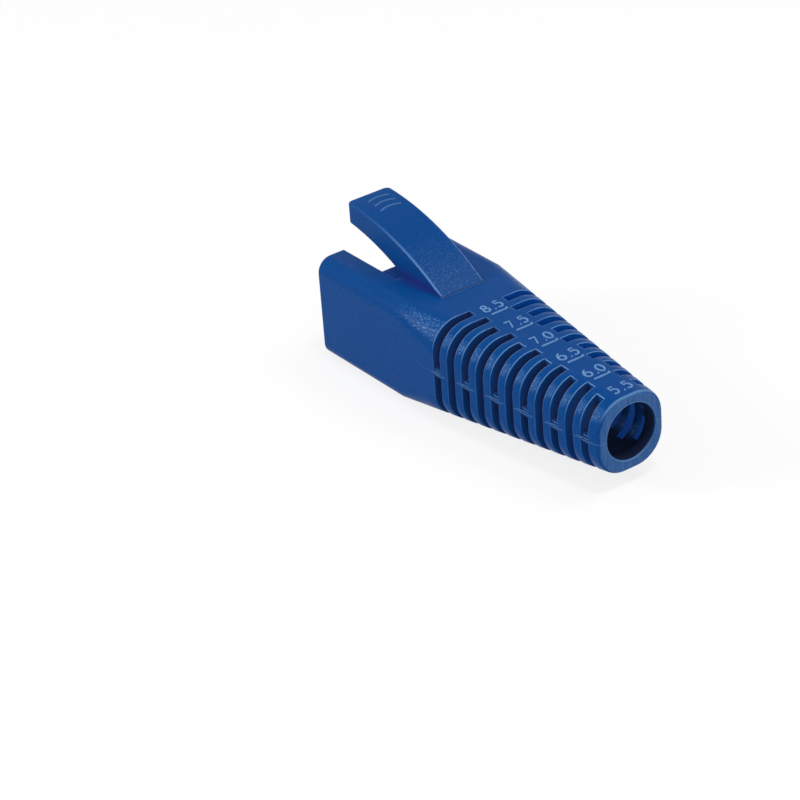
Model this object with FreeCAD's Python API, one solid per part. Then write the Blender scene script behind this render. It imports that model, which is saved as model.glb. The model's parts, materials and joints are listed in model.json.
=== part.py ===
import FreeCAD, Part
import math
import os

# One moulded strain relief boot for an RJ45 plug: an open box housing with a latch
# hood, and a slotted, tapering sleeve behind it that lets the cable bend gently.
# Millimetres. X runs from the mouth to the cable exit, Y is across, Z is up.
# The origin is the middle of the footprint of the boot, on the surface it stands on.

# Plug socket and the walls of the housing
socket_width = 12.0
socket_height = 7.3
socket_depth = 12.0
side_wall = 0.65
top_wall = 1.3
floor_wall = 2.0
housing_length = 12.75
housing_top_radius = 1.6
housing_bottom_radius = 1.15

# Latch notch in the roof, and the shallow ledge between it and the hood
notch_width = 6.9
notch_depth = 5.9
ledge_drop = 0.45

# Latch hood: an arched channel that springs from the roof and ends over the mouth
hood_width = 5.1
hood_root = 15.0
hood_root_step = 0.06
hood_rise = 4.88
hood_crown = 1.1
hood_plate = 1.0
skirt_wall = 0.75
skirt_height = 2.05
skirt_foot = 8.9
skirt_crown = 0.43
hood_tip_radius = 0.6

# Outside of the slotted sleeve, at its first slot and at the cable end
transition_length = 6.25
sleeve_start_width = 13.17
sleeve_start_drop = 0.25
sleeve_radius = 3.15
end_width = 7.6
end_drop = 1.32
end_lift = 1.45

# Slots: odd ones are split by a bridge at the parting plane, even ones reach further
parting_height = 5.45
slot_count = 11
slot_pitch = 1.878
slot_width = 0.95
long_spine = 3.96
short_spine = 3.0
bridge_height = 0.8
bridge_recess = 0.15
end_ring = 1.35

# Cable channel, and the bore that grips the cable where it leaves
cable_bore = 5.6
channel_start_width = 10.0
channel_start_height = 7.3
channel_end_width = 6.0
channel_radius = 2.7

# Edges
rim_round = 0.3
end_round = 0.45
bore_round = 0.15
hood_round = 0.2
flange_round = 0.35

# Derived places
outer_width = socket_width + 2 * side_wall
outer_height = floor_wall + socket_height + top_wall
first_slot = housing_length + transition_length
last_slot = first_slot + (slot_count - 1) * slot_pitch
length = last_slot + slot_width / 2 + end_ring
origin_x = length / 2
overshoot = 1.0
touching = 1e-6
reach = 4 * outer_width
along_boot = FreeCAD.Vector(1, 0, 0)


def vec(x, y, z):
    return FreeCAD.Vector(x - origin_x, y, z)


def box(x0, x1, y0, y1, z0, z1):
    return Part.makeBox(x1 - x0, y1 - y0, z1 - z0, vec(x0, y0, z0))


def tapered_block(start_x, start, end_x, end):
    """Flat-sided block between two rectangles, each given as width, bottom and top."""
    (width, bottom, top), (far_width, far_bottom, far_top) = start, end
    block = Part.makeWedge(-width / 2, start_x, bottom, far_bottom, -far_width / 2,
                           width / 2, end_x, top, far_top, far_width / 2)
    block.rotate(FreeCAD.Vector(), FreeCAD.Vector(0, 0, 1), -90)
    block.translate(vec(0, 0, 0))
    return Part.makeSolid(block.Shells[0])


def long_edges(block, middle_height):
    """Edges that run along the boot, those below middle_height first and those above second."""
    along = [e for e in block.Edges if abs(e.Vertexes[0].X - e.Vertexes[-1].X) > overshoot]
    below = [e for e in along if e.CenterOfMass.z < middle_height]
    above = [e for e in along if e.CenterOfMass.z > middle_height]
    return below, above


def end_edges(shape, x):
    place = vec(x, 0, 0).x
    return [e for e in shape.Edges if all(abs(v.X - place) < touching for v in e.Vertexes)]


def rounded_section(x, width, bottom, top, bottom_radius, top_radius):
    """Closed section in a plane of constant x: four flats joined by four quarter arcs."""
    half = width / 2
    corners = [(1, 1, top_radius), (-1, 1, top_radius), (-1, -1, bottom_radius), (1, -1, bottom_radius)]
    arcs = []
    for across, up, radius in corners:
        centre_y = across * (half - radius)
        centre_z = top - radius if up > 0 else bottom + radius
        start = math.atan2(up, across) - math.pi / 4
        turn = [start, start + math.pi / 4, start + math.pi / 2]
        arcs.append([vec(x, centre_y + radius * math.cos(a), centre_z + radius * math.sin(a)) for a in turn])
    edges = []
    for i, (first, middle, last) in enumerate(arcs):
        following = arcs[(i + 1) % len(arcs)]
        edges.append(Part.Arc(first, middle, last).toShape())
        edges.append(Part.LineSegment(last, following[0]).toShape())
    return Part.Wire(edges)


def housing_form():
    section = (outer_width, 0, outer_height)
    form = tapered_block(0, section, housing_length, section)
    below, above = long_edges(form, outer_height / 2)
    form = form.makeFillet(housing_top_radius, above)
    below, above = long_edges(form, housing_top_radius)
    form = form.makeFillet(housing_bottom_radius, below)
    return form.makeFillet(rim_round, end_edges(form, 0))


def transition_form():
    front = rounded_section(housing_length, outer_width, 0, outer_height,
                            housing_bottom_radius, housing_top_radius)
    back = rounded_section(first_slot, sleeve_start_width, 0, outer_height - sleeve_start_drop,
                           sleeve_radius, sleeve_radius)
    return Part.makeLoft([front, back], True, True)


def sleeve_form():
    start = (sleeve_start_width, 0, outer_height - sleeve_start_drop)
    end = (end_width, end_lift, outer_height - end_drop)
    form = tapered_block(first_slot, start, length, end)
    below, above = long_edges(form, outer_height / 2)
    form = form.makeFillet(sleeve_radius, below + above)
    return form.makeFillet(end_round, end_edges(form, length))


def half_width_at(x):
    share = (x - first_slot) / (length - first_slot)
    return (sleeve_start_width + share * (end_width - sleeve_start_width)) / 2


def slots():
    cutters = []
    for index in range(slot_count):
        centre = first_slot + index * slot_pitch
        bridged = index % 2 == 0
        half_spine = (long_spine if bridged else short_spine) / 2
        for side in (1, -1):
            near, far = sorted((side * half_spine, side * reach))
            cutter = box(centre - slot_width / 2, centre + slot_width / 2, near, far, -reach, reach)
            if bridged:
                near, far = sorted((0, side * (half_width_at(centre) - bridge_recess)))
                bridge = box(centre - slot_width, centre + slot_width, near, far,
                             parting_height - bridge_height / 2, parting_height + bridge_height / 2)
                cutter = cutter.cut(bridge)
            cutters.append(cutter)
    return cutters


def cavity():
    roof = floor_wall + socket_height
    middle = (floor_wall + roof) / 2
    socket = box(-overshoot, socket_depth, -socket_width / 2, socket_width / 2, floor_wall, roof)
    ring_x = length - end_ring
    start = (channel_start_width, middle - channel_start_height / 2, middle + channel_start_height / 2)
    end = (channel_end_width, parting_height - channel_end_width / 2, parting_height + channel_end_width / 2)
    channel = tapered_block(socket_depth, start, ring_x, end)
    below, above = long_edges(channel, middle)
    channel = channel.makeFillet(channel_radius, below + above)
    bore = Part.makeCylinder(cable_bore / 2, end_ring, vec(ring_x, 0, parting_height), along_boot)
    lip = Part.makeCone(cable_bore / 2, cable_bore / 2 + bore_round, bore_round,
                        vec(length - bore_round, 0, parting_height), along_boot)
    return socket.fuse([channel, bore, lip])


def arc_between(start, end, crown):
    """Arc in a plane of constant y from start to end, standing crown above its chord."""
    chord = end - start
    outward = FreeCAD.Vector(chord.z, 0, -chord.x).normalize()
    if outward.z < 0:
        outward = -outward
    return Part.Arc(start, (start + end) / 2 + outward * crown, end)


def across(edges, width):
    """Solid of a closed profile in the plane y = -width / 2, extruded across the boot."""
    return Part.Face(Part.Wire(edges)).extrude(FreeCAD.Vector(0, width, 0))


def lines(*points):
    return [Part.LineSegment(a, b).toShape() for a, b in zip(points, points[1:])]


def hood_top(y):
    root = vec(hood_root, y, outer_height + hood_root_step)
    tip = vec(0, y, outer_height + hood_rise)
    return root, tip, arc_between(root, tip, hood_crown).toShape()


def hood_block():
    y = -hood_width / 2
    base = outer_height - ledge_drop
    root, tip, top = hood_top(y)
    skirt_tip = tip - FreeCAD.Vector(0, 0, skirt_height)
    foot = vec(skirt_foot, y, outer_height)
    under = arc_between(skirt_tip, foot, skirt_crown).toShape()
    edges = [top, *lines(tip, skirt_tip), under,
             *lines(foot, vec(skirt_foot, y, base), vec(hood_root, y, base), root)]
    block = across(edges, hood_width)
    upright = [e for e in end_edges(block, 0) if abs(e.Vertexes[0].Z - e.Vertexes[-1].Z) > skirt_height / 2]
    block = block.makeFillet(hood_tip_radius, upright)
    plate = next(f for f in block.Faces if abs(getattr(f.Surface, "Radius", 0) - top.Curve.Radius) < touching)
    rim = [e for e in plate.Edges if min(v.X for v in e.Vertexes) < root.x - touching]
    return block.makeFillet(hood_round, rim)


def hood_tunnel():
    """What the hood leaves open beneath its plate, down to the level of the ledge."""
    y = -(hood_width / 2 - skirt_wall)
    top = hood_top(y)[2].Curve
    centre, radius = top.Center, top.Radius - hood_plate
    base = outer_height - ledge_drop

    def at_height(z):
        return FreeCAD.Vector(centre.x + math.sqrt(radius ** 2 - (z - centre.z) ** 2), y, z)

    def at_place(x):
        return FreeCAD.Vector(x, y, centre.z + math.sqrt(radius ** 2 - (x - centre.x) ** 2))
    back = at_height(base)
    front = at_place(vec(-overshoot, 0, 0).x)
    middle = at_place((back.x + front.x) / 2)
    edges = [Part.Arc(back, middle, front).toShape(),
             *lines(front, FreeCAD.Vector(front.x, y, base), back)]
    return across(edges, hood_width - 2 * skirt_wall)


def roof_cuts():
    half = notch_width / 2
    within = floor_wall + socket_height / 2
    above = outer_height + overshoot
    cuts = [box(-overshoot, notch_depth, -half, half, within, above),
            box(-overshoot, skirt_foot, -half, half, outer_height - ledge_drop, above)]
    for side in (1, -1):
        near, far = sorted((side * half, side * (half + flange_round)))
        corner = box(0, flange_round, near, far, within, above)
        round_post = Part.makeCylinder(flange_round, above - within,
                                       vec(flange_round, side * (half + flange_round), within))
        cuts.append(corner.cut(round_post))
    return cuts


body = housing_form().fuse([transition_form(), sleeve_form()])
body = body.cut(slots() + roof_cuts())
body = body.fuse(hood_block())
body = body.cut([cavity(), hood_tunnel()])
if not body.isValid() or len(body.Solids) != 1:
    raise ValueError("the boot is not one sound solid")
os.makedirs("parts", exist_ok=True)
body.exportStep("parts/boot.step")
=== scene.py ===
import json
import math
import bpy
from mathutils import Matrix, Vector
from mathutils.bvhtree import BVHTree


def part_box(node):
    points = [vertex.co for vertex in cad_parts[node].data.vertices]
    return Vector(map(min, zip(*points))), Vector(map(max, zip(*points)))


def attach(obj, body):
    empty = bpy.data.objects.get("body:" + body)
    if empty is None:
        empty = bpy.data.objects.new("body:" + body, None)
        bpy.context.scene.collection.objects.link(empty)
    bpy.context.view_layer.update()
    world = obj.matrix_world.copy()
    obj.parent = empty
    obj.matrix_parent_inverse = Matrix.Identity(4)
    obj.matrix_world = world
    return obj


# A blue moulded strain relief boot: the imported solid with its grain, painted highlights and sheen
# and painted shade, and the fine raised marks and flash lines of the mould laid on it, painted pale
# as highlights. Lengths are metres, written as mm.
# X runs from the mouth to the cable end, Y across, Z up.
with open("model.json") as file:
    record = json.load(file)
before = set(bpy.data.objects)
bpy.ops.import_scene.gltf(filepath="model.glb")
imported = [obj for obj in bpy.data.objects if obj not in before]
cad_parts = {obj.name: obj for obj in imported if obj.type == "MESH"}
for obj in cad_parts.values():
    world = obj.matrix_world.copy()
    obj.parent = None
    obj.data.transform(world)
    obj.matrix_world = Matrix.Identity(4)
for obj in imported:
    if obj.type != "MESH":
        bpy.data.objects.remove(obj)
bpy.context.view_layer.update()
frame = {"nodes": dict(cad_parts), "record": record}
boot = frame["nodes"]["boot"]
mm = 0.001
low, high = (Vector(corner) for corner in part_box("boot"))
mouthX, cableEndX = low.x, high.x
bore = next(mount for mount in frame["record"]["mounts"] if mount["name"] == "cable_bore")
boreRadius = bore["dims"]["r_mm"] * mm
partingZ = bore["pos_m"][2]  # the mould parts at the height of the bore
clearBeside, clearAbove = 3 * mm, 5 * mm  # how far outside the boot a probing ray starts
bootTree = BVHTree.FromPolygons([v.co.copy() for v in boot.data.vertices],
                                [tuple(face.vertices) for face in boot.data.polygons])
print("loaded the boot:", [round(side / mm, 2) for side in high - low], "mm")


def newGroup(name, inputs, outputs):
    group = bpy.data.node_groups.new(name, "ShaderNodeTree")
    for label, kind, value in inputs:
        socket = group.interface.new_socket(label, in_out="INPUT", socket_type=kind)
        if value is not None:
            socket.default_value = value
    for label, kind in outputs:
        group.interface.new_socket(label, in_out="OUTPUT", socket_type=kind)
    return group, group.nodes.new("NodeGroupInput"), group.nodes.new("NodeGroupOutput")


def placeGroup(tree, group, **values):
    node = tree.nodes.new("ShaderNodeGroup")
    node.node_tree = group
    for label, value in values.items():
        node.inputs[label].default_value = value
    return node


def mathNode(tree, operation, first, second=None, clamp=False):
    node = tree.nodes.new("ShaderNodeMath")
    node.operation = operation
    node.use_clamp = clamp
    for socket, value in zip(node.inputs, (first, second)):
        if isinstance(value, bpy.types.NodeSocket):
            tree.links.new(value, socket)
        elif value is not None:
            socket.default_value = value
    return node.outputs[0]


def product(tree, first, *others):
    for other in others:
        first = mathNode(tree, "MULTIPLY", first, other)
    return first


# turns a mask from 0 to 1 into one from the given lowest value to 1
def keepAbove(tree, mask, lowest):
    return mathNode(tree, "ADD", product(tree, mask, 1 - lowest), lowest)


def ramp(tree, value, start, stop, smooth=True):
    node = tree.nodes.new("ShaderNodeMapRange")
    node.interpolation_type = "SMOOTHSTEP" if smooth else "LINEAR"
    node.inputs["From Min"].default_value = start
    node.inputs["From Max"].default_value = stop
    tree.links.new(value, node.inputs["Value"])
    return node.outputs["Result"]


def noiseNode(tree, vector, scale, detail):
    node = tree.nodes.new("ShaderNodeTexNoise")
    node.inputs["Detail"].default_value = detail
    tree.links.new(vector, node.inputs["Vector"])
    if isinstance(scale, bpy.types.NodeSocket):
        tree.links.new(scale, node.inputs["Scale"])
    else:
        node.inputs["Scale"].default_value = scale
    return node.outputs["Fac"]


def mixColour(tree, factor, first, second):
    node = tree.nodes.new("ShaderNodeMix")
    node.data_type = "RGBA"
    tree.links.new(factor, node.inputs["Factor"])
    for socket, value in ((node.inputs["A"], first), (node.inputs["B"], second)):
        if isinstance(value, bpy.types.NodeSocket):
            tree.links.new(value, socket)
        else:
            socket.default_value = value
    return node.outputs["Result"]


def splitAxes(tree, vector):
    node = tree.nodes.new("ShaderNodeSeparateXYZ")
    tree.links.new(vector, node.inputs[0])
    return tuple(node.outputs)


def objectPlace(tree):
    return tree.nodes.new("ShaderNodeTexCoord").outputs["Object"]


# 1 inside a box in the boot's own space, given as (from, to) along some axes
def insideBox(tree, spans, soft):
    where = dict(zip("XYZ", splitAxes(tree, objectPlace(tree))))
    mask = 1.0
    for axis, (start, stop) in spans.items():
        mask = product(tree, ramp(tree, where[axis], start - soft, start), mask)
        mask = product(tree, ramp(tree, where[axis], stop + soft, stop), mask)
    return mask


grainLook = {
    "detail": 3,
    "broadSize": 3.5,
    "broadDetail": 1,
    "broadShare": 0.6,
    "height": 0.015 * mm,
    "peaks": (0.53, 0.65),
}


# fine spark-eroded grain: a normal, and a mask of its peaks
def makeGrainGroup(look):
    group, given, result = newGroup(
        "sparkGrain",
        [("Size", "NodeSocketFloat", 0.2), ("Depth", "NodeSocketFloat", 1.0),
         ("Normal", "NodeSocketVector", None)],
        [("Normal", "NodeSocketVector"), ("Peaks", "NodeSocketFloat")])
    place = objectPlace(group)
    scale = mathNode(group, "DIVIDE", 1 / mm, given.outputs["Size"])
    broadScale = mathNode(group, "DIVIDE", scale, look["broadSize"])
    fine = noiseNode(group, place, scale, look["detail"])
    broad = noiseNode(group, place, broadScale, look["broadDetail"])
    bump = group.nodes.new("ShaderNodeBump")
    bump.inputs["Distance"].default_value = look["height"]
    height = mathNode(group, "ADD", fine, product(group, broad, look["broadShare"]))
    group.links.new(height, bump.inputs["Height"])
    group.links.new(given.outputs["Depth"], bump.inputs["Strength"])
    group.links.new(given.outputs["Normal"], bump.inputs["Normal"])
    group.links.new(bump.outputs["Normal"], result.inputs["Normal"])
    peaks = ramp(group, fine, *look["peaks"], smooth=False)
    group.links.new(peaks, result.inputs["Peaks"])
    return group


edgeHighlightLook = {"samples": 6, "upward": (0.1, 0.6)}


# outer corners painted paler as a highlight, most of all where they face up
def makeEdgeHighlightGroup(look):
    group, given, result = newGroup(
        "paintedEdgeHighlights",
        [("Radius", "NodeSocketFloat", 0.1), ("Gain", "NodeSocketFloat", 1.0),
         ("UpGain", "NodeSocketFloat", 1.0)],
        [("Mask", "NodeSocketFloat"), ("Up", "NodeSocketFloat"), ("Normal", "NodeSocketVector")])
    bevel = group.nodes.new("ShaderNodeBevel")
    bevel.samples = look["samples"]
    group.links.new(product(group, given.outputs["Radius"], mm), bevel.inputs["Radius"])
    geometry = group.nodes.new("ShaderNodeNewGeometry")
    likeness = group.nodes.new("ShaderNodeVectorMath")
    likeness.operation = "DOT_PRODUCT"
    group.links.new(bevel.outputs["Normal"], likeness.inputs[0])
    group.links.new(geometry.outputs["Normal"], likeness.inputs[1])
    turned = mathNode(group, "SUBTRACT", 1.0, likeness.outputs["Value"])
    upward = splitAxes(group, bevel.outputs["Normal"])[2]
    up = ramp(group, upward, *look["upward"])
    upGain = product(group, up, given.outputs["UpGain"])
    gain = mathNode(group, "ADD", given.outputs["Gain"], upGain)
    mask = mathNode(group, "MULTIPLY", turned, gain, clamp=True)
    group.links.new(mask, result.inputs["Mask"])
    group.links.new(up, result.inputs["Up"])
    group.links.new(bevel.outputs["Normal"], result.inputs["Normal"])
    return group


# less shade under the hood, which light reaches from the front
depthLook = {
    "samples": 8,
    "hoodEnd": (-4.4 * mm, -4.8 * mm),
    "hoodFoot": (9.1 * mm, 9.4 * mm),
}


# how far a surface lies inside a slot or the mouth, the mask of the painted shade: 1 deep inside, 0
# in the open
def makeDepthGroup(look):
    group, given, result = newGroup(
        "inTheDark",
        [("Reach", "NodeSocketFloat", 6.0), ("Open", "NodeSocketFloat", 0.5),
         ("Deep", "NodeSocketFloat", 0.2), ("HoodLess", "NodeSocketFloat", 1.0)],
        [("Mask", "NodeSocketFloat")])
    shade = group.nodes.new("ShaderNodeAmbientOcclusion")
    shade.samples = look["samples"]
    shade.only_local = True
    group.links.new(product(group, given.outputs["Reach"], mm), shade.inputs["Distance"])
    fade = group.nodes.new("ShaderNodeMapRange")
    fade.interpolation_type = "SMOOTHSTEP"
    group.links.new(shade.outputs["AO"], fade.inputs["Value"])
    group.links.new(given.outputs["Open"], fade.inputs["From Min"])
    group.links.new(given.outputs["Deep"], fade.inputs["From Max"])
    x, y, z = splitAxes(group, objectPlace(group))
    byHood = product(group, ramp(group, x, *look["hoodEnd"]), ramp(group, z, *look["hoodFoot"]))
    less = mathNode(group, "SUBTRACT", 1.0, product(group, byHood, given.outputs["HoodLess"]))
    group.links.new(product(group, fade.outputs["Result"], less), result.inputs["Mask"])
    return group


channelLook = {
    "taper": 0.085,
    "skin": 0.25 * mm,
    "lip": 0.1 * mm,
    "from": (4 * mm, 6 * mm),
    "wallFacing": (0.4, 0.8),
    "ring": 1.4 * mm,
    "socketHalf": 6.03 * mm,
    "socketEnd": -7.6 * mm,
    "throatHalf": 5.1 * mm,
    "throatEnd": -1.5 * mm,
    "socketFloor": 1.97 * mm,
    "socketRoof": 9.33 * mm,
    "socketDepth": (-19.0 * mm, -12.0 * mm),
    "socketStart": 0.7,
    "socketLip": 0.2 * mm,
}


def squareOf(tree, value):
    return mathNode(tree, "POWER", value, 2.0)


def distanceFromAxis(tree, y, z):
    above = mathNode(tree, "SUBTRACT", z, partingZ)
    return mathNode(tree, "SQRT", mathNode(tree, "ADD", squareOf(tree, y), squareOf(tree, above)))


# the radius of the tapering cable channel at x, with some skin added
def channelRadius(tree, x, skin):
    depth = mathNode(tree, "SUBTRACT", cableEndX, x)
    return mathNode(tree, "ADD", product(tree, depth, channelLook["taper"]), boreRadius + skin)


# painted shade on the unlit insides: the channel for the cable, painted less dark on its side
# walls, and the plug socket
def makeChannelGroup(look):
    group, given, result = newGroup(
        "cableChannel", [("SideWalls", "NodeSocketFloat", 0.4)], [("Mask", "NodeSocketFloat")])
    texture = group.nodes.new("ShaderNodeTexCoord").outputs
    x, y, z = splitAxes(group, texture["Object"])
    sideways = mathNode(group, "ABSOLUTE", splitAxes(group, texture["Normal"])[1])

    inside = mathNode(group, "LESS_THAN", distanceFromAxis(group, y, z),
                      channelRadius(group, x, look["skin"]))
    inside = product(group, inside, mathNode(group, "LESS_THAN", x, cableEndX - look["lip"]),
                     ramp(group, x, *look["from"]))
    behindRing = mathNode(group, "LESS_THAN", x, cableEndX - look["ring"])
    lighter = product(group, ramp(group, sideways, *look["wallFacing"]), behindRing,
                      given.outputs["SideWalls"])
    channel = product(group, inside, mathNode(group, "SUBTRACT", 1.0, lighter))

    pastSocket = mathNode(group, "GREATER_THAN", x, look["socketEnd"])
    narrower = product(group, pastSocket, look["socketHalf"] - look["throatHalf"])
    fromMiddle = mathNode(group, "ADD", mathNode(group, "ABSOLUTE", y), narrower)
    socket = product(group,
                     mathNode(group, "LESS_THAN", fromMiddle, look["socketHalf"]),
                     mathNode(group, "GREATER_THAN", z, look["socketFloor"]),
                     mathNode(group, "LESS_THAN", z, look["socketRoof"]),
                     mathNode(group, "LESS_THAN", x, look["throatEnd"]),
                     mathNode(group, "GREATER_THAN", x, mouthX + look["socketLip"]),
                     keepAbove(group, ramp(group, x, *look["socketDepth"]), look["socketStart"]))
    group.links.new(mathNode(group, "MAXIMUM", channel, socket), result.inputs["Mask"])
    return group


sheenLook = {
    "shoulderSlope": (0.28, 0.48),
    "shoulderFrom": (-8.0 * mm, -3.5 * mm),
    "shoulderFloor": 0.08,
    "ribsFrom": (-1.2 * mm, -0.4 * mm),
    "ribSlope": (0.335, 0.42),
    "ribShare": 0.68,
    "ribFloor": 0.15,
    "edgeSlope": (0.1, 0.35),
    "hoodAbove": (10.64 * mm, 10.7 * mm),
    "hoodFade": (-17 * mm, -6 * mm),
    "hoodFloor": 0.1,
    "rootFacing": (0.25, 0.6),
    "streakScale": (1, 5.0, 0.5),
    "streakDetail": 2,
    "streaks": (0.3, 0.75),
    "streakFloor": 0.5,
    "endFacing": (0.75, 0.95),
    "endFrom": (19.2 * mm, 19.3 * mm),
    "rimFacing": (0.25, 0.5),
    "rimUp": (0.3, 0.75),
    "rimGain": 1.7,
    "rimFrom": (19.0 * mm, 19.3 * mm),
}


# painted sheen and highlights, speckled by the grain: on the shoulders, the hood's upper edges and
# root, and in streaks on the end face and its upper rim
def makeSheenGroup(look):
    group, given, result = newGroup(
        "paintedSheen",
        [("Peaks", "NodeSocketFloat", 0.0), ("Shoulders", "NodeSocketFloat", 1.0),
         ("HoodEdges", "NodeSocketFloat", 1.0), ("HoodRoot", "NodeSocketFloat", 1.0),
         ("EndFace", "NodeSocketFloat", 1.0)],
        [("Mask", "NodeSocketFloat")])
    texture = group.nodes.new("ShaderNodeTexCoord").outputs
    x, y, z = splitAxes(group, texture["Object"])
    ahead, across, up = splitAxes(group, texture["Normal"])
    sideways = mathNode(group, "ABSOLUTE", across)
    slope = product(group, sideways, up)
    coarse = keepAbove(group, given.outputs["Peaks"], look["shoulderFloor"])
    fine = keepAbove(group, given.outputs["Peaks"], look["ribFloor"])

    onHousing = product(group, ramp(group, slope, *look["shoulderSlope"]),
                        ramp(group, x, *look["shoulderFrom"]), coarse)
    steepness = product(group, slope, mathNode(group, "SQRT", sideways))
    onRibs = product(group, ramp(group, steepness, *look["ribSlope"]), fine, look["ribShare"])
    shoulders = group.nodes.new("ShaderNodeMix")
    group.links.new(ramp(group, x, *look["ribsFrom"]), shoulders.inputs["Factor"])
    group.links.new(onHousing, shoulders.inputs["A"])
    group.links.new(onRibs, shoulders.inputs["B"])
    shoulders = product(group, shoulders.outputs["Result"], given.outputs["Shoulders"])

    aboveRoof = ramp(group, z, *look["hoodAbove"])
    towardsTip = keepAbove(group, ramp(group, x, *look["hoodFade"]), look["hoodFloor"])
    edges = product(group, ramp(group, slope, *look["edgeSlope"]), aboveRoof, towardsTip,
                    given.outputs["HoodEdges"])
    root = product(group, ramp(group, ahead, *look["rootFacing"]), aboveRoof, fine,
                   given.outputs["HoodRoot"])
    hood = mathNode(group, "MAXIMUM", edges, root)

    stretch = group.nodes.new("ShaderNodeMapping")
    stretch.inputs["Scale"].default_value = look["streakScale"]
    group.links.new(texture["Object"], stretch.inputs["Vector"])
    streaks = noiseNode(group, stretch.outputs["Vector"], 1 / mm, look["streakDetail"])
    streaks = ramp(group, streaks, *look["streaks"], smooth=False)
    face = product(group, ramp(group, ahead, *look["endFacing"]), ramp(group, x, *look["endFrom"]),
                   keepAbove(group, streaks, look["streakFloor"]))
    rim = product(group, ramp(group, ahead, *look["rimFacing"]), ramp(group, up, *look["rimUp"]),
                  look["rimGain"], ramp(group, x, *look["rimFrom"]))
    end = product(group, mathNode(group, "MAXIMUM", face, rim), given.outputs["EndFace"])

    mask = mathNode(group, "ADD", mathNode(group, "ADD", shoulders, hood), end, clamp=True)
    group.links.new(mask, result.inputs["Mask"])
    return group


grainGroup = makeGrainGroup(grainLook)
edgeHighlightGroup = makeEdgeHighlightGroup(edgeHighlightLook)
depthGroup = makeDepthGroup(depthLook)
channelGroup = makeChannelGroup(channelLook)
sheenGroup = makeSheenGroup(sheenLook)

# colours are linear; sizes of grain and corners are in mm
mouldedLook = {
    "blue": (0.002, 0.062, 0.262, 1),
    # the paler colour for the grain's peaks and for the painted highlights and sheen
    "grainAndHighlightBlue": (0.16, 0.33, 0.64, 1),
    "roughness": 0.3,
    "specular": 0.035,
    "grainSize": 0.14,
    "grainDepth": 0.9,
    "peakLift": 0.05,
    "cornerRadius": 0.16,
    "edgeHighlightGain": 1.4,
    "edgeHighlightUpGain": 3.2,
    "shoulders": 0.75,
    "hoodEdges": 0.62,
    "hoodRoot": 0.3,
    "endFace": 0.4,
}

# painted shade and light on the moulding: shade in its slots and insides and at the foot of the
# hood, and painted light on the ledge below the hood and in the far slots
shadeLook = {
    "insideShade": (0.048, 0.055, 0.16, 1),
    "nook": {"Reach": 0.4, "Open": 0.95, "Deep": 0.78, "HoodLess": 0.0},
    "foot": {"Reach": 2.6, "Open": 0.82, "Deep": 0.45, "HoodLess": 0.0},
    "footShade": (0.02, 0.036, 0.24, 1),
    "footBox": {"Z": (10.6 * mm, 20 * mm)},
    "ledgeLitBlue": (0.0, 0.07, 0.38, 1),
    "ledgeBox": {"X": (-13.9 * mm, -10.87 * mm), "Y": (-3.52 * mm, 3.52 * mm),
                 "Z": (10.1 * mm, 10.62 * mm)},
    "boxSoft": 0.05 * mm,
    "farLitBlue": (0.004, 0.11, 0.52, 1),
    "farBox": {"X": (-2 * mm, 20 * mm), "Y": (1.8 * mm, 9 * mm)},
    "farSoft": 0.8 * mm,
    "channelShade": (0.012, 0.020, 0.058, 1),
    "channelWalls": 0.8,
    "channelRoughness": 0.95,
}


def shadeInsides(tree, shader, colour, depth):
    look = shadeLook
    foot = placeGroup(tree, depthGroup, **look["foot"]).outputs["Mask"]
    onRoof = product(tree, foot, insideBox(tree, look["footBox"], look["boxSoft"]))
    colour = mixColour(tree, onRoof, colour, look["footShade"])
    # painted light: the ledge under the hood is painted a lighter blue
    onLedge = insideBox(tree, look["ledgeBox"], look["boxSoft"])
    colour = mixColour(tree, onLedge, colour, look["ledgeLitBlue"])
    colour = mixColour(tree, depth, colour, look["insideShade"])
    # painted light: the slots on the far side are painted a lighter blue
    farSlots = product(tree, foot, insideBox(tree, look["farBox"], look["farSoft"]))
    colour = mixColour(tree, farSlots, colour, look["farLitBlue"])
    channel = placeGroup(tree, channelGroup, SideWalls=look["channelWalls"]).outputs["Mask"]
    roughness = mouldedLook["roughness"]
    rougher = product(tree, channel, look["channelRoughness"] - roughness)
    tree.links.new(mathNode(tree, "ADD", rougher, roughness), shader.inputs["Roughness"])
    return mixColour(tree, channel, colour, look["channelShade"])


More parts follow.
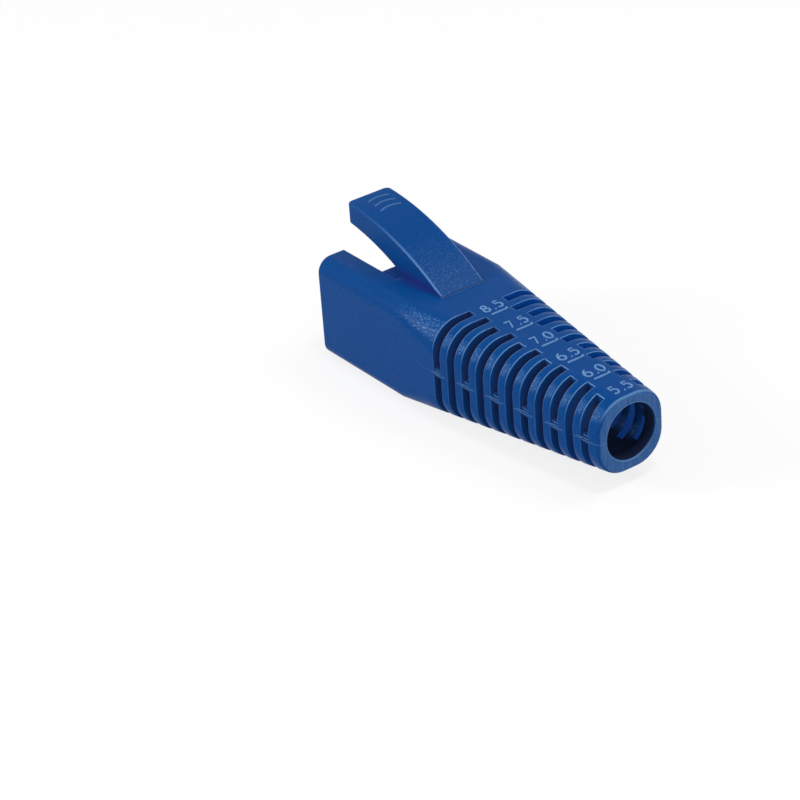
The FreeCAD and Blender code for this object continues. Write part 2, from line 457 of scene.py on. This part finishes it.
# raised and raisedUp paint a surface paler as a highlight, all over and where it faces up
def makeMoulded(name, look, raised=0.0, raisedUp=0.0, shaded=True):
    material = bpy.data.materials.new(name)
    material.use_nodes = True
    tree = material.node_tree
    shader = tree.nodes["Principled BSDF"]
    shader.inputs["Roughness"].default_value = look["roughness"]
    shader.inputs["Specular IOR Level"].default_value = look["specular"]
    corners = placeGroup(tree, edgeHighlightGroup, Radius=look["cornerRadius"], Gain=look["edgeHighlightGain"],
                         UpGain=look["edgeHighlightUpGain"])
    grain = placeGroup(tree, grainGroup, Size=look["grainSize"], Depth=look["grainDepth"])
    tree.links.new(corners.outputs["Normal"], grain.inputs["Normal"])
    tree.links.new(grain.outputs["Normal"], shader.inputs["Normal"])
    sheen = placeGroup(tree, sheenGroup, Shoulders=look["shoulders"], HoodEdges=look["hoodEdges"],
                      HoodRoot=look["hoodRoot"], EndFace=look["endFace"])
    tree.links.new(grain.outputs["Peaks"], sheen.inputs["Peaks"])
    # the grain's peaks, the painted sheen and the painted edge highlights make the colour paler
    grainAndHighlights = product(tree, grain.outputs["Peaks"], look["peakLift"])
    grainAndHighlights = mathNode(tree, "ADD", grainAndHighlights, sheen.outputs["Mask"])
    edgeHighlightMask = corners.outputs["Mask"]
    if shaded:
        depth = placeGroup(tree, depthGroup).outputs["Mask"]
        nook = placeGroup(tree, depthGroup, **shadeLook["nook"]).outputs["Mask"]
        outer = mathNode(tree, "SUBTRACT", 1.0, nook)
        edgeHighlightMask = product(tree, edgeHighlightMask, outer)
        if raised:
            raised = mathNode(tree, "ADD", raised, product(tree, corners.outputs["Up"], raisedUp))
            raised = product(tree, outer, raised)
    grainAndHighlights = mathNode(tree, "ADD", grainAndHighlights, edgeHighlightMask)
    if shaded:
        grainAndHighlights = product(tree, grainAndHighlights, mathNode(tree, "SUBTRACT", 1.0, depth))
    grainAndHighlights = mathNode(tree, "ADD", grainAndHighlights, raised, clamp=True)
    colour = mixColour(tree, grainAndHighlights, look["blue"], look["grainAndHighlightBlue"])
    if shaded:
        colour = shadeInsides(tree, shader, colour, depth)
    tree.links.new(colour, shader.inputs["Base Color"])
    return material


mouldedBlue = makeMoulded("mouldedBlue", mouldedLook)
# the edge bevels, painted paler as a highlight, most where they face up
edgeHighlightBlue = makeMoulded("edgeHighlightBlue", mouldedLook, raised=0.14, raisedUp=0.86)
strokeLook = {**mouldedLook, "shoulders": 0.0, "hoodEdges": 0.0, "hoodRoot": 0.0, "endFace": 0.0}
# the raised strokes, painted pale as highlights; the fine ridges and lines fainter
raisedBlue = makeMoulded("raisedBlue", strokeLook, raised=0.88, shaded=False)
ridgeBlue = makeMoulded("ridgeBlue", strokeLook, raised=0.35, shaded=False)
boot.data.materials.clear()
boot.data.materials.append(mouldedBlue)
boot.data.materials.append(edgeHighlightBlue)

# angles are degrees; the slots' outer edges, away from the bridges, get a width of their own
softEdges = {
    "weld": 0.001 * mm,
    "flatAngle": 0.6,
    "cornerAngle": 32,
    "sharpAngle": 40,
    "segments": 2,
    "width": 0.18 * mm,
    "slotWidth": 0.075 * mm,
    "slotsFrom": -2.3 * mm,
    "slotsTo": 18.9 * mm,
    "slotSkin": 0.9 * mm,
    "bridgeHalf": 1.0 * mm,
}


def newMeshNodes(name):
    tree = bpy.data.node_groups.new(name, "GeometryNodeTree")
    for way in ("INPUT", "OUTPUT"):
        tree.interface.new_socket("Mesh", in_out=way, socket_type="NodeSocketGeometry")
    return tree, tree.nodes.new("NodeGroupInput"), tree.nodes.new("NodeGroupOutput")


# gives the outer edges of the slots a bevel weight
def makeSlotEdgeNodes():
    s = softEdges
    tree, given, result = newMeshNodes("slotEdges")
    middle = tree.nodes.new("GeometryNodeInputPosition").outputs["Position"]
    x, y, z = splitAxes(tree, middle)
    chosen = product(tree,
                     mathNode(tree, "GREATER_THAN", distanceFromAxis(tree, y, z),
                              channelRadius(tree, x, s["slotSkin"])),
                     mathNode(tree, "GREATER_THAN", x, s["slotsFrom"]),
                     mathNode(tree, "LESS_THAN", x, s["slotsTo"]))
    ends = tree.nodes.new("GeometryNodeInputMeshEdgeVertices")
    for label in ("Position 1", "Position 2"):
        above = mathNode(tree, "SUBTRACT", splitAxes(tree, ends.outputs[label])[2], partingZ)
        away = mathNode(tree, "ABSOLUTE", above)
        chosen = product(tree, chosen, mathNode(tree, "GREATER_THAN", away, s["bridgeHalf"]))
    angle = tree.nodes.new("GeometryNodeInputMeshEdgeAngle").outputs["Unsigned Angle"]
    chosen = product(tree, chosen,
                     mathNode(tree, "GREATER_THAN", angle, math.radians(s["cornerAngle"])))
    store = tree.nodes.new("GeometryNodeStoreNamedAttribute")
    store.data_type, store.domain = "FLOAT", "EDGE"
    store.inputs["Name"].default_value = "bevel_weight_edge"
    weight = next(entry for entry in store.inputs if entry.name == "Value" and entry.enabled)
    tree.links.new(chosen, weight)
    tree.links.new(given.outputs["Mesh"], store.inputs["Geometry"])
    tree.links.new(store.outputs["Geometry"], result.inputs["Mesh"])
    return tree


# smooth shading, kept sharp across the steepest edges
def makeSmoothNodes():
    tree, given, result = newMeshNodes("smoothByAngle")
    faces = tree.nodes.new("GeometryNodeSetShadeSmooth")
    edges = tree.nodes.new("GeometryNodeSetShadeSmooth")
    edges.domain = "EDGE"
    edges.inputs["Shade Smooth"].default_value = False
    angle = tree.nodes.new("GeometryNodeInputMeshEdgeAngle")
    steep = tree.nodes.new("FunctionNodeCompare")
    steep.operation = "GREATER_THAN"
    steep.inputs["B"].default_value = math.radians(softEdges["sharpAngle"])
    tree.links.new(angle.outputs["Unsigned Angle"], steep.inputs["A"])
    tree.links.new(steep.outputs["Result"], edges.inputs["Selection"])
    tree.links.new(given.outputs["Mesh"], faces.inputs["Geometry"])
    tree.links.new(faces.outputs["Geometry"], edges.inputs["Geometry"])
    tree.links.new(edges.outputs["Geometry"], result.inputs["Mesh"])
    return tree


def addBevel(piece, name, limit, width):
    bevel = piece.modifiers.new(name, "BEVEL")
    bevel.limit_method = limit
    bevel.width = width
    bevel.segments = softEdges["segments"]
    bevel.miter_outer = "MITER_ARC"
    bevel.material = 1  # edgeHighlightBlue
    return bevel


def softenEdges(piece):
    weld = piece.modifiers.new("joinFaces", "WELD")
    weld.merge_threshold = softEdges["weld"]
    flat = piece.modifiers.new("flatFaces", "DECIMATE")
    flat.decimate_type = "DISSOLVE"
    flat.angle_limit = math.radians(softEdges["flatAngle"])
    mark = piece.modifiers.new("markSlotEdges", "NODES")
    mark.node_group = makeSlotEdgeNodes()
    slots = addBevel(piece, "roundSlotEdges", "WEIGHT", softEdges["slotWidth"])
    slots.use_clamp_overlap = False
    corners = addBevel(piece, "roundCorners", "ANGLE", softEdges["width"])
    corners.angle_limit = math.radians(softEdges["cornerAngle"])
    smooth = piece.modifiers.new("smoothShading", "NODES")
    smooth.node_group = makeSmoothNodes()
    even = piece.modifiers.new("evenNormals", "WEIGHTED_NORMAL")
    even.keep_sharp = True


softenEdges(boot)
print("moulding: finish and soft edges")


def hitFrom(start, direction):
    spot, normal, index, distance = bootTree.ray_cast(Vector(start), Vector(direction))
    return spot


def hitSide(side, x, z):
    return hitFrom((x, side * (high.y + clearBeside), z), (0, -side, 0))


# flat points laid on the top of the boot, sunk a little
def layOnTop(points, sunk=0.0):
    laid = []
    for x, y in points:
        spot = hitFrom((x, y, high.z + clearAbove), (0, 0, -1))
        laid.append((spot.x, spot.y, spot.z - sunk))
    return laid


strokeShape = {"bevelSteps": 2, "endLength": 0.6, "endRadius": 0.4}  # the last two in stroke radii


# an extra point near each end, so a stroke narrows only over its last bit
def roundedEnds(points, radius):
    share = strokeShape["endLength"]
    first = points[0] + (points[1] - points[0]).normalized() * radius * share
    last = points[-1] + (points[-2] - points[-1]).normalized() * radius * share
    return [points[0], first, *points[1:-1], last, points[-1]]


# one curve object of round strokes, each given as (points, closed)
def makeStrokes(name, strokes, radius, material=raisedBlue):
    curve = bpy.data.curves.new(name, "CURVE")
    curve.dimensions = "3D"
    curve.bevel_depth = radius
    curve.bevel_resolution = strokeShape["bevelSteps"]
    curve.use_fill_caps = True
    for points, closed in strokes:
        if not closed:
            points = roundedEnds([Vector(point) for point in points], radius)
        spline = curve.splines.new("POLY")
        spline.points.add(len(points) - 1)
        for slot, point in zip(spline.points, points):
            slot.co = (*point, 1)
        spline.use_cyclic_u = closed
        if not closed:
            spline.points[0].radius = spline.points[-1].radius = strokeShape["endRadius"]
    curve.materials.append(material)
    piece = bpy.data.objects.new(name, curve)
    bpy.context.scene.collection.objects.link(piece)
    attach(piece, "root")


def arcPoints(centre, size, start, stop, steps=14):
    turns = [math.radians(start + (stop - start) * step / steps) for step in range(steps + 1)]
    return [(centre[0] + size[0] * math.cos(a), centre[1] + size[1] * math.sin(a)) for a in turns]


def ringPoints(centre, size, steps):
    return arcPoints(centre, size, 0, 360, steps)[:-1]


# figures as strokes in a box 0.62 wide and 1 high
figureStrokes = {
    "0": [(ringPoints((0.31, 0.5), (0.3, 0.5), 24), True)],
    "5": [([(0.56, 1.0), (0.12, 1.0), (0.07, 0.55)]
           + arcPoints((0.28, 0.33), (0.31, 0.34), 130, -140), False)],
    "6": [(ringPoints((0.31, 0.32), (0.31, 0.32), 20), True),
          (arcPoints((0.62, 0.34), (0.62, 0.7), 182, 105, 8), False)],
    "7": [([(0.02, 1.0), (0.6, 1.0), (0.22, 0.0)], False)],
    "8": [(ringPoints((0.31, 0.76), (0.22, 0.24), 18), True),
          (ringPoints((0.31, 0.27), (0.28, 0.27), 20), True)],
}

# cable sizes in mm at which the sleeve is cut back, each but the first with a short bar
sizeMarks = {
    "labels": ["5.5", "6.0", "6.5", "7.0", "7.5", "8.5"],
    "firstFromEnd": 1.55 * mm,
    "pitch": 3.756 * mm,
    "height": 1.15 * mm,
    "figureStarts": (-0.98 * mm, 0.55 * mm),
    "dotAt": 0.22 * mm,
    "dotHalf": 0.11 * mm,
    "stroke": 0.11 * mm,
    "barFrom": -0.8 * mm,
    "barTo": 1.1 * mm,
    "barBelow": 0.62 * mm,
    "barTick": 0.28 * mm,
    "barStroke": 0.125 * mm,
}


def makeSizeMarks():
    m = sizeMarks
    bars = []
    for index, label in enumerate(m["labels"]):
        middle = cableEndX - m["firstFromEnd"] - index * m["pitch"]
        foot = middle + m["height"] / 2
        strokes = []
        for figure, startY in zip(label.replace(".", ""), m["figureStarts"]):
            for points, closed in figureStrokes[figure]:
                flat = [(foot - v * m["height"], startY + u * m["height"]) for u, v in points]
                strokes.append((layOnTop(flat), closed))
        dot = [(foot + end * m["dotHalf"], m["dotAt"]) for end in (-1, 1)]
        strokes.append((layOnTop(dot), False))
        makeStrokes("sizeMark" + label.replace(".", "_"), strokes, m["stroke"])
        if index:
            barX = foot + m["barBelow"]
            bar = [(barX, m["barFrom"]), (barX, 0.0), (barX, m["barTo"]),
                   (barX - m["barTick"], m["barTo"])]
            bars.append((layOnTop(bar), False))
    makeStrokes("sizeBars", bars, m["barStroke"])


makeSizeMarks()
print("size marks:", ", ".join(sizeMarks["labels"]))

# bowed ridges that give a thumb some grip near the tip of the hood
gripRidges = {
    "count": 3,
    "firstFromTip": 1.2 * mm,
    "pitch": 1.0 * mm,
    "middleY": 0.35 * mm,
    "halfLength": 1.25 * mm,
    "bow": 0.32 * mm,
    "radius": 0.14 * mm,
    "sunk": 0.06 * mm,
    "steps": 14,
}


def makeGripRidges():
    g = gripRidges
    strokes = []
    for index in range(g["count"]):
        crest = mouthX + g["firstFromTip"] + index * g["pitch"]
        flat = []
        for step in range(g["steps"] + 1):
            along = 2 * step / g["steps"] - 1
            flat.append((crest + g["bow"] * along ** 2, g["middleY"] + g["halfLength"] * along))
        strokes.append((layOnTop(flat, g["sunk"]), False))
    makeStrokes("gripRidges", strokes, g["radius"], ridgeBlue)


makeGripRidges()

# the line that the two halves of the mould leave at both ends and along the sides; on the
# housing it is faint on the +Y side (1) and shows only near the sleeve on the -Y side (-1)
partingLine = {
    "from": {-1: 16.2 * mm, 1: 0.12 * mm},
    "sleeveFrom": 18.0 * mm,
    "endInset": 0.12 * mm,
    "step": 0.25 * mm,
    "depthLimit": 0.45 * mm,
    "endSteps": 40,
    "endLimit": 0.4 * mm,
    "radius": 0.03 * mm,
    "faintRadius": 0.022 * mm,
    "sunk": 0.008 * mm,
}


# runs of points along one side, broken where the line would drop into a slot
def makeSideLine(side):
    p = partingLine
    startX, stopX = mouthX + p["from"][side], cableEndX - p["endInset"]
    steps = int((stopX - startX) / p["step"])
    runs, run, lastY = [], [], None
    for step in range(steps + 1):
        x = startX + (stopX - startX) * step / steps
        spot = hitSide(side, x, partingZ)
        if spot is not None and (lastY is None or abs(abs(spot.y) - lastY) < p["depthLimit"]):
            lastY = abs(spot.y)
            run.append((spot.x, spot.y - side * p["sunk"], spot.z))
        else:
            runs.append(run)
            run = []
    return [points for points in runs + [run] if len(points) > 1]


# points across one half of an end, from the middle plane outwards
def makeEndLine(side, endX, outward):
    p = partingLine
    points = []
    for step in range(p["endSteps"] + 1):
        y = side * high.y * step / p["endSteps"]
        spot = hitFrom((endX + outward * clearBeside, y, partingZ), (-outward, 0, 0))
        if spot is not None and abs(spot.x - endX) < p["endLimit"]:
            points.append((spot.x - outward * p["sunk"], spot.y, spot.z))
    return points


def makePartingLines():
    p = partingLine
    atEnds, onSleeve, onHousing = [makeEndLine(1, mouthX, -1)], [], []
    for side in (-1, 1):
        atEnds.append(makeEndLine(side, cableEndX, 1))
        for points in makeSideLine(side):
            split = sum(point[0] < mouthX + p["sleeveFrom"] for point in points)
            if split > 1:
                onHousing.append(points[:split + 1])
                points = points[split:]
            if len(points) > 1:
                onSleeve.append(points)
    for name, lines, radius, material in (
            ("endPartingLine", atEnds, p["radius"], raisedBlue),
            ("sleevePartingLine", onSleeve, p["radius"], ridgeBlue),
            ("housingPartingLine", onHousing, p["faintRadius"], ridgeBlue)):
        makeStrokes(name, [(points, False) for points in lines], radius, material)


makePartingLines()

# pairs of fine ridges over the bridges in every other slot
bridgeLines = {
    "count": 6,
    "firstFromEnd": 1.825 * mm,
    "pitch": 3.756 * mm,
    "halfLength": 0.75 * mm,
    "heights": (0.15 * mm, -0.09 * mm),
    "slip": 0.25 * mm,
    "radius": 0.042 * mm,
    "sunk": 0.025 * mm,
}


def makeBridgeLines():
    b = bridgeLines
    strokes = []
    for index in range(b["count"]):
        middle = cableEndX - b["firstFromEnd"] - index * b["pitch"]
        for side in (-1, 1):
            for lift, slip in zip(b["heights"], (-b["slip"], b["slip"])):
                points = []
                for along in (-1, 1):
                    spot = hitSide(side, middle + slip + along * b["halfLength"], partingZ + lift)
                    points.append((spot.x, spot.y - side * b["sunk"], spot.z))
                strokes.append((points, False))
    makeStrokes("bridgeLines", strokes, b["radius"], ridgeBlue)


makeBridgeLines()

# a hair of flash round the inner edge of the mouth, round the bore and along the hood's root,
# painted pale as a highlight
edgeFlash = {
    "radius": 0.035 * mm,
    "inside": 0.35 * mm,
    "fromWall": 1 * mm,
    "flangeReach": 3.9 * mm,
    "boreEdge": 0.15 * mm,
    "boreSteps": 48,
    "rootAt": 15.02 * mm,
    "rootHalf": 2.5 * mm,
    "rootSteps": 6,
}


def makeEdgeFlash():
    e = edgeFlash
    probe = Vector((mouthX + e["inside"], 0, partingZ))
    wall = hitFrom(probe, (0, 1, 0)).y
    floor = hitFrom(probe, (0, 0, -1)).z
    roof = hitFrom(probe + Vector((0, wall - e["fromWall"], 0)), (0, 0, 1)).z
    corners = [(-e["flangeReach"], roof), (-wall, roof), (-wall, floor), (wall, floor),
               (wall, roof), (e["flangeReach"], roof)]
    rim = [(mouthX, y, z) for y, z in corners]
    size = boreRadius + e["boreEdge"]
    ring = [(cableEndX, y, z) for y, z in ringPoints((0, partingZ), (size, size), e["boreSteps"])]
    half = e["rootSteps"]
    root = layOnTop([(mouthX + e["rootAt"], e["rootHalf"] * along / half)
                     for along in range(-half, half + 1)])
    makeStrokes("edgeFlash", [(rim, False), (ring, True), (root, False)], e["radius"])


makeEdgeFlash()
print("fine lines: grip ridges, parting line, bridge lines, flash")

cameraSetup = {
    "place": (204.51 * mm, -152.39 * mm, 148.12 * mm),
    "towards": (-0.71356, 0.49133, -0.49943),
    "tilt": -4.346,
    "lens": 137.54,
    "clipStart": 10 * mm,
}


def makeCamera():
    camera = bpy.data.objects.new("camera", bpy.data.cameras.new("camera"))
    bpy.context.scene.collection.objects.link(camera)
    towards = Vector(cameraSetup["towards"])
    level = towards.to_track_quat("-Z", "Y").to_matrix()
    tilt = Matrix.Rotation(math.radians(cameraSetup["tilt"]), 3, -towards)
    camera.rotation_euler = (tilt @ level).to_euler()
    camera.location = cameraSetup["place"]
    camera.data.lens = cameraSetup["lens"]
    camera.data.clip_start = cameraSetup["clipStart"]
    bpy.context.scene.camera = camera


makeCamera()

# round soft lamps aimed at the middle of the boot; places and sizes in metres
lamps = {
    "keyLamp": {"place": (-0.19, -0.3, 0.18), "size": 0.12, "watts": 0.55},
    "topLamp": {"place": (0.095, 0.008, 0.369), "size": 0.07, "watts": 0.31},
    "backLamp": {"place": (0.05, 0.19, 0.33), "size": 0.14, "watts": 0.25},
    "endLamp": {"place": (0.38, -0.1, 0.12), "size": 0.25, "watts": 0.12},
}


def makeLamps():
    aim = (low + high) / 2
    for name, lamp in lamps.items():
        light = bpy.data.lights.new(name, "AREA")
        light.shape = "DISK"
        light.size = lamp["size"]
        light.energy = lamp["watts"]
        holder = bpy.data.objects.new(name, light)
        holder.location = lamp["place"]
        holder.rotation_euler = (aim - holder.location).to_track_quat("-Z", "Y").to_euler()
        bpy.context.scene.collection.objects.link(holder)


# 1 where the camera, a reflection or clear material sees this surface, 0 for its light on things
def seenDirectly(tree):
    path = tree.nodes.new("ShaderNodeLightPath")
    direct = mathNode(tree, "MAXIMUM", path.outputs["Is Camera Ray"], path.outputs["Is Glossy Ray"])
    return mathNode(tree, "MAXIMUM", direct, path.outputs["Is Transmission Ray"])


sky = {"lightStrength": 0.42, "seenStrength": 1.0}  # soft light all round, seen as plain white


def makeSky():
    world = bpy.data.worlds.new("studio")
    bpy.context.scene.world = world
    world.use_nodes = True
    tree = world.node_tree
    background = tree.nodes["Background"]
    background.inputs["Color"].default_value = (1, 1, 1, 1)
    fade = tree.nodes.new("ShaderNodeMapRange")
    tree.links.new(seenDirectly(tree), fade.inputs["Value"])
    fade.inputs["To Min"].default_value = sky["lightStrength"]
    fade.inputs["To Max"].default_value = sky["seenStrength"]
    tree.links.new(fade.outputs["Result"], background.inputs["Strength"])


# a pale table, whitened where it is seen, so that only the boot's shadow shows on it
table = {
    "half": 1.2,
    "gap": 0.02 * mm,
    "colour": (0.86, 0.86, 0.86, 1),
    "whiteShare": 0.75,
    "whiteStrength": 1.07,
}


def makeTable():
    half = table["half"]
    corners = [(-half, -half, 0), (half, -half, 0), (half, half, 0), (-half, half, 0)]
    mesh = bpy.data.meshes.new("table")
    mesh.from_pydata(corners, [], [(0, 1, 2, 3)])
    piece = bpy.data.objects.new("table", mesh)
    bpy.context.scene.collection.objects.link(piece)
    piece.location.z = low.z - table["gap"]
    material = bpy.data.materials.new("paleTable")
    material.use_nodes = True
    tree = material.node_tree
    shader = tree.nodes["Principled BSDF"]
    shader.inputs["Base Color"].default_value = table["colour"]
    shader.inputs["Roughness"].default_value = 1.0
    shader.inputs["Specular IOR Level"].default_value = 0.0
    white = tree.nodes.new("ShaderNodeEmission")
    white.inputs["Strength"].default_value = table["whiteStrength"]
    mix = tree.nodes.new("ShaderNodeMixShader")
    tree.links.new(product(tree, seenDirectly(tree), table["whiteShare"]), mix.inputs["Fac"])
    tree.links.new(shader.outputs["BSDF"], mix.inputs[1])
    tree.links.new(white.outputs["Emission"], mix.inputs[2])
    tree.links.new(mix.outputs["Shader"], tree.nodes["Material Output"].inputs["Surface"])
    mesh.materials.append(material)


makeLamps()
makeSky()
makeTable()
bpy.context.scene.view_settings.view_transform = "Standard"
print("camera, lamps and table placed")
